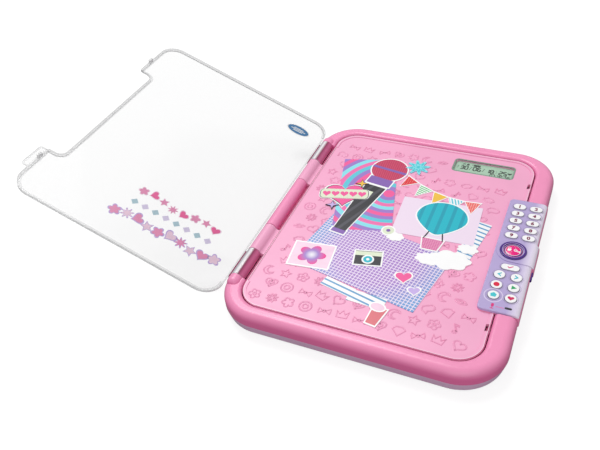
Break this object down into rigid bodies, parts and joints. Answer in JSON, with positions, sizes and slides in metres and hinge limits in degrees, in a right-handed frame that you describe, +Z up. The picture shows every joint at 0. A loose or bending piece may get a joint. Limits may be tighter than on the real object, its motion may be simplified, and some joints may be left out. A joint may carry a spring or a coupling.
{
  "type": "electronic secret diary",
  "caption": "Flat portrait toy diary case with a hinged front door carrying a keypad and display, and a clear hinged lid over it.",
  "frame": {"origin": "middle of the case's flat underside", "axes": "+Z up out of the door with the case on its back, +X from the hinge side towards the keypad side, +Y towards the display end"},
  "size_m": [0.4173, 0.276, 0.0988],
  "materials": {
    "shell_lilac": "moulded, satin gloss",
    "rim_pink": "moulded, gloss",
    "door_pink": "moulded, satin gloss",
    "keypad_lilac": "moulded, satin gloss",
    "key_white": "moulded, printed signs",
    "deep_purple": "moulded, gloss",
    "magenta": "moulded, gloss",
    "clear_plastic": "clear, polished",
    "display": "liquid crystal glass",
    "steel": "plain",
    "grey_rubber": "matte",
    "board": "circuit board",
    "dark_plastic": "matte",
    "cell_wrap": "printed wrap, bare",
    "motor_can": "zinc plated",
    "paper": "plain leaves",
    "card": "grey board"
  },
  "bodies": {
    "base": {"bottom_shell": "shell_lilac", "top_frame": "rim_pink", "latch_keeper": "steel", "hinge_pin_lower": "steel", "hinge_pin_upper": "steel", "case_screws": "steel", "rubber_feet": "grey_rubber", "notepad_back": "card", "notepad_pages": "paper"},
    "door": {"door_panel": "door_pink", "door_hinge_barrels": "door_pink", "door_back_cover": "door_pink", "door_screws": "steel", "display_lens": "clear_plastic", "display_module": "display", "main_board": "board", "key_board": "board", "key_mat": "grey_rubber", "microphone": "steel", "speaker": "dark_plastic", "batteries": "cell_wrap", "battery_contacts": "steel", "battery_cover": "door_pink", "battery_screw": "steel", "lock_motor": "motor_can", "keypad_bezel": "keypad_lilac", "unlock_surround": "keypad_lilac", "unlock_ring": "deep_purple"},
    "lid": {"clear_lid": "clear_plastic", "lid_hinge_knuckles": "clear_plastic"},
    "number_key_0_body": {"number_key_0": "key_white"},
    "number_key_1_body": {"number_key_1": "key_white"},
    "number_key_2_body": {"number_key_2": "key_white"},
    "number_key_3_body": {"number_key_3": "key_white"},
    "number_key_4_body": {"number_key_4": "key_white"},
    "number_key_5_body": {"number_key_5": "key_white"},
    "number_key_6_body": {"number_key_6": "key_white"},
    "number_key_7_body": {"number_key_7": "key_white"},
    "number_key_8_body": {"number_key_8": "key_white"},
    "number_key_9_body": {"number_key_9": "key_white"},
    "tick_key_body": {"tick_key": "key_white"},
    "back_key_body": {"back_key": "key_white"},
    "forward_key_body": {"forward_key": "key_white"},
    "record_key_body": {"record_key": "key_white"},
    "play_key_body": {"play_key": "key_white"},
    "house_key_body": {"house_key": "key_white"},
    "heart_key_body": {"heart_key": "key_white"},
    "unlock_button_body": {"unlock_button": "magenta"},
    "bolt": {"latch_bolt": "steel"},
    "switch": {"power_switch": "deep_purple"}
  },
  "joints": [
    {"name": "door_hinge", "type": "hinge", "parent": "base", "child": "door", "pos_m": [-0.1064, 0, 0.0186], "axis": [0, -1, 0], "range_deg": [0, 110]},
    {"name": "lid_hinge", "type": "hinge", "parent": "base", "child": "lid", "pos_m": [-0.1064, 0, 0.0186], "axis": [0, -1, 0], "range_deg": [-157.3, 0]},
    {"name": "key_0_press", "type": "slide", "parent": "door", "child": "number_key_0_body", "axis": [0, 0, -1], "range_m": [0, 0.0008], "stiffness_N_per_m": 500, "springref_m": -0.0006},
    {"name": "key_1_press", "type": "slide", "parent": "door", "child": "number_key_1_body", "axis": [0, 0, -1], "range_m": [0, 0.0008], "stiffness_N_per_m": 500, "springref_m": -0.0006},
    {"name": "key_2_press", "type": "slide", "parent": "door", "child": "number_key_2_body", "axis": [0, 0, -1], "range_m": [0, 0.0008], "stiffness_N_per_m": 500, "springref_m": -0.0006},
    {"name": "key_3_press", "type": "slide", "parent": "door", "child": "number_key_3_body", "axis": [0, 0, -1], "range_m": [0, 0.0008], "stiffness_N_per_m": 500, "springref_m": -0.0006},
    {"name": "key_4_press", "type": "slide", "parent": "door", "child": "number_key_4_body", "axis": [0, 0, -1], "range_m": [0, 0.0008], "stiffness_N_per_m": 500, "springref_m": -0.0006},
    {"name": "key_5_press", "type": "slide", "parent": "door", "child": "number_key_5_body", "axis": [0, 0, -1], "range_m": [0, 0.0008], "stiffness_N_per_m": 500, "springref_m": -0.0006},
    {"name": "key_6_press", "type": "slide", "parent": "door", "child": "number_key_6_body", "axis": [0, 0, -1], "range_m": [0, 0.0008], "stiffness_N_per_m": 500, "springref_m": -0.0006},
    {"name": "key_7_press", "type": "slide", "parent": "door", "child": "number_key_7_body", "axis": [0, 0, -1], "range_m": [0, 0.0008], "stiffness_N_per_m": 500, "springref_m": -0.0006},
    {"name": "key_8_press", "type": "slide", "parent": "door", "child": "number_key_8_body", "axis": [0, 0, -1], "range_m": [0, 0.0008], "stiffness_N_per_m": 500, "springref_m": -0.0006},
    {"name": "key_9_press", "type": "slide", "parent": "door", "child": "number_key_9_body", "axis": [0, 0, -1], "range_m": [0, 0.0008], "stiffness_N_per_m": 500, "springref_m": -0.0006},
    {"name": "tick_press", "type": "slide", "parent": "door", "child": "tick_key_body", "axis": [0, 0, -1], "range_m": [0, 0.0008], "stiffness_N_per_m": 500, "springref_m": -0.0006},
    {"name": "back_press", "type": "slide", "parent": "door", "child": "back_key_body", "axis": [0, 0, -1], "range_m": [0, 0.0008], "stiffness_N_per_m": 500, "springref_m": -0.0006},
    {"name": "forward_press", "type": "slide", "parent": "door", "child": "forward_key_body", "axis": [0, 0, -1], "range_m": [0, 0.0008], "stiffness_N_per_m": 500, "springref_m": -0.0006},
    {"name": "record_press", "type": "slide", "parent": "door", "child": "record_key_body", "axis": [0, 0, -1], "range_m": [0, 0.0008], "stiffness_N_per_m": 500, "springref_m": -0.0006},
    {"name": "play_press", "type": "slide", "parent": "door", "child": "play_key_body", "axis": [0, 0, -1], "range_m": [0, 0.0008], "stiffness_N_per_m": 500, "springref_m": -0.0006},
    {"name": "house_press", "type": "slide", "parent": "door", "child": "house_key_body", "axis": [0, 0, -1], "range_m": [0, 0.0008], "stiffness_N_per_m": 500, "springref_m": -0.0006},
    {"name": "heart_press", "type": "slide", "parent": "door", "child": "heart_key_body", "axis": [0, 0, -1], "range_m": [0, 0.0008], "stiffness_N_per_m": 500, "springref_m": -0.0006},
    {"name": "unlock_button_press", "type": "slide", "parent": "door", "child": "unlock_button_body", "axis": [0, 0, -1], "range_m": [0, 0.0008], "stiffness_N_per_m": 700, "springref_m": -0.0006},
    {"name": "latch_slide", "type": "slide", "parent": "door", "child": "bolt", "axis": [1, 0, 0], "range_m": [0, 0.005]},
    {"name": "power_slide", "type": "slide", "parent": "door", "child": "switch", "axis": [0, -1, 0], "range_m": [0, 0.0022]}
  ]
}
